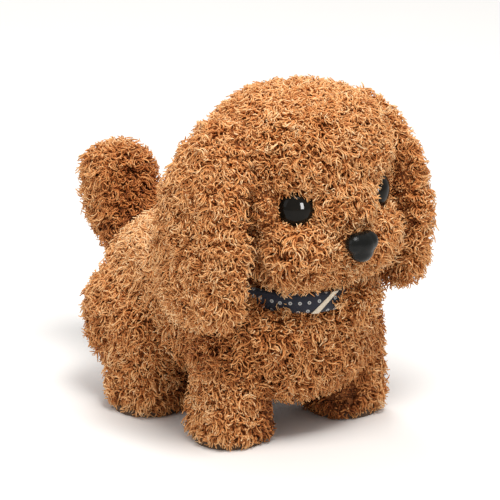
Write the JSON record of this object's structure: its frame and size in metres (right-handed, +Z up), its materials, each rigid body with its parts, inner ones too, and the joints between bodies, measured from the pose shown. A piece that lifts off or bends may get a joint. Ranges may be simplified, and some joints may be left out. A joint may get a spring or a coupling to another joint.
{
  "type": "interactive plush pet",
  "caption": "Curly plush puppy with swinging legs, wagging tail, nodding head and floppy ears over a geared battery walking mechanism.",
  "frame": {"origin": "on the floor, under the middle of the pet's outer box", "axes": "+Z up, -Y the way the pet faces, +X the pet's left side"},
  "size_m": [0.133, 0.219, 0.194],
  "materials": {
    "plush": "matte",
    "ear_plush": "matte",
    "collar_fabric": "matte",
    "buckle": "satin",
    "white_plastic": "matte",
    "steel": "satin",
    "bronze": "satin",
    "black_plastic": "matte",
    "contact_steel": "polished",
    "cell": "gloss",
    "circuit": "satin",
    "gear_plastic": "satin",
    "sole": "matte",
    "eye_gloss": "gloss",
    "nose_satin": "satin"
  },
  "bodies": {
    "body": {"body_plush": "plush", "collar_band": "collar_fabric", "collar_buckle": "buckle", "chassis_left": "white_plastic", "chassis_right": "white_plastic", "chassis_screws": "steel", "hip_screws": "steel", "crank_bushes": "bronze", "neck_pin": "steel", "tail_screw": "steel", "battery_case": "black_plastic", "battery_contacts": "contact_steel", "battery_cell_left": "cell", "battery_cell_right": "cell", "switch_case": "black_plastic", "circuit_board": "circuit", "speaker": "black_plastic", "motor": "steel", "gearbox_outer_plate": "gear_plastic", "gearbox_inner_plate": "gear_plastic", "gear_axles": "steel"},
    "battery_door": {"battery_door": "black_plastic", "door_screw": "steel"},
    "power_switch": {"switch_knob": "black_plastic"},
    "motor_rotor": {"motor_shaft": "steel", "motor_pinion": "bronze"},
    "first_gear": {"first_gear": "gear_plastic"},
    "second_gear": {"second_gear": "gear_plastic"},
    "crank": {"crank_gear": "gear_plastic", "crank_shaft": "steel", "crank_left": "black_plastic", "crank_right": "black_plastic"},
    "link_left": {"link_left": "white_plastic"},
    "link_right": {"link_right": "white_plastic"},
    "leg_front_left": {"leg_arm_front_left": "white_plastic", "leg_plush_front_left": "plush", "foot_sole_front_left": "sole"},
    "leg_front_right": {"leg_arm_front_right": "white_plastic", "leg_plush_front_right": "plush", "foot_sole_front_right": "sole"},
    "leg_rear_left": {"leg_arm_rear_left": "white_plastic", "leg_plush_rear_left": "plush", "foot_sole_rear_left": "sole"},
    "leg_rear_right": {"leg_arm_rear_right": "white_plastic", "leg_plush_rear_right": "plush", "foot_sole_rear_right": "sole"},
    "tail": {"tail_lever": "white_plastic", "tail_plush": "plush"},
    "head": {"neck_arm": "white_plastic", "skull_front": "white_plastic", "skull_back": "white_plastic", "head_plush": "plush", "eye_left": "eye_gloss", "eye_right": "eye_gloss", "nose": "nose_satin"},
    "ear_left": {"ear_left": "ear_plush"},
    "ear_right": {"ear_right": "ear_plush"}
  },
  "joints": [
    {"name": "walk", "type": "hinge", "parent": "body", "child": "leg_front_left", "pos_m": [0.0266, -0.046, 0.05], "axis": [1, 0, 0], "range_deg": [-12, 12]},
    {"name": "leg_front_right_swing", "type": "hinge", "parent": "body", "child": "leg_front_right", "pos_m": [-0.0266, -0.046, 0.05], "axis": [1, 0, 0], "range_deg": [-12.5, 12.5]},
    {"name": "leg_rear_left_swing", "type": "hinge", "parent": "body", "child": "leg_rear_left", "pos_m": [0.0266, 0.022, 0.05], "axis": [1, 0, 0], "range_deg": [-12.5, 12.5]},
    {"name": "leg_rear_right_swing", "type": "hinge", "parent": "body", "child": "leg_rear_right", "pos_m": [-0.0266, 0.022, 0.05], "axis": [1, 0, 0], "range_deg": [-12.5, 12.5]},
    {"name": "link_left_pivot", "type": "hinge", "parent": "leg_front_left", "child": "link_left", "pos_m": [0.03, -0.046, 0.062], "axis": [1, 0, 0], "range_deg": [-12.5, 12.5]},
    {"name": "link_right_pivot", "type": "hinge", "parent": "leg_front_right", "child": "link_right", "pos_m": [-0.03, -0.046, 0.062], "axis": [1, 0, 0], "range_deg": [-12.5, 12.5]},
    {"name": "tail_wag", "type": "hinge", "parent": "body", "child": "tail", "pos_m": [0, 0.057, 0.066], "axis": [0, 1, 0], "range_deg": [-18.5, 18.5]},
    {"name": "head_nod", "type": "hinge", "parent": "body", "child": "head", "pos_m": [0, -0.046, 0.082], "axis": [1, 0, 0], "range_deg": [-6.3, 6.3]},
    {"name": "ear_left_flap", "type": "hinge", "parent": "head", "child": "ear_left", "pos_m": [0.0535, -0.048, 0.164], "axis": [0, -1, 0], "range_deg": [0, 35]},
    {"name": "ear_right_flap", "type": "hinge", "parent": "head", "child": "ear_right", "pos_m": [-0.0535, -0.048, 0.164], "axis": [0, 1, 0], "range_deg": [0, 35]},
    {"name": "crank_spin", "type": "hinge", "parent": "body", "child": "crank", "pos_m": [0, -0.012, 0.062], "axis": [1, 0, 0], "continuous": true},
    {"name": "second_gear_spin", "type": "hinge", "parent": "body", "child": "second_gear", "pos_m": [0, 0.00048, 0.062], "axis": [1, 0, 0], "continuous": true},
    {"name": "first_gear_spin", "type": "hinge", "parent": "body", "child": "first_gear", "pos_m": [0, 0.01296, 0.062], "axis": [1, 0, 0], "continuous": true},
    {"name": "motor_rotor_spin", "type": "hinge", "parent": "body", "child": "motor_rotor", "pos_m": [0, 0.02544, 0.062], "axis": [1, 0, 0], "continuous": true},
    {"name": "battery_door_lift", "type": "slide", "parent": "body", "child": "battery_door", "axis": [0, 0, -1], "range_m": [0, 0.03]},
    {"name": "power_switch_slide", "type": "slide", "parent": "body", "child": "power_switch", "axis": [0, 1, 0], "range_m": [0, 0.003]}
  ],
  "couplings": [
    {"joint": "leg_front_right_swing", "follows": "walk", "ratio": -1},
    {"joint": "leg_rear_left_swing", "follows": "walk", "ratio": 1},
    {"joint": "leg_rear_right_swing", "follows": "walk", "ratio": -1},
    {"joint": "link_left_pivot", "follows": "walk", "ratio": -1},
    {"joint": "link_right_pivot", "follows": "walk", "ratio": 1},
    {"joint": "tail_wag", "follows": "walk", "ratio": 1.5},
    {"joint": "head_nod", "follows": "walk", "ratio": 0.5},
    {"joint": "second_gear_spin", "follows": "crank_spin", "ratio": -3},
    {"joint": "first_gear_spin", "follows": "crank_spin", "ratio": 9},
    {"joint": "motor_rotor_spin", "follows": "crank_spin", "ratio": -27}
  ]
}
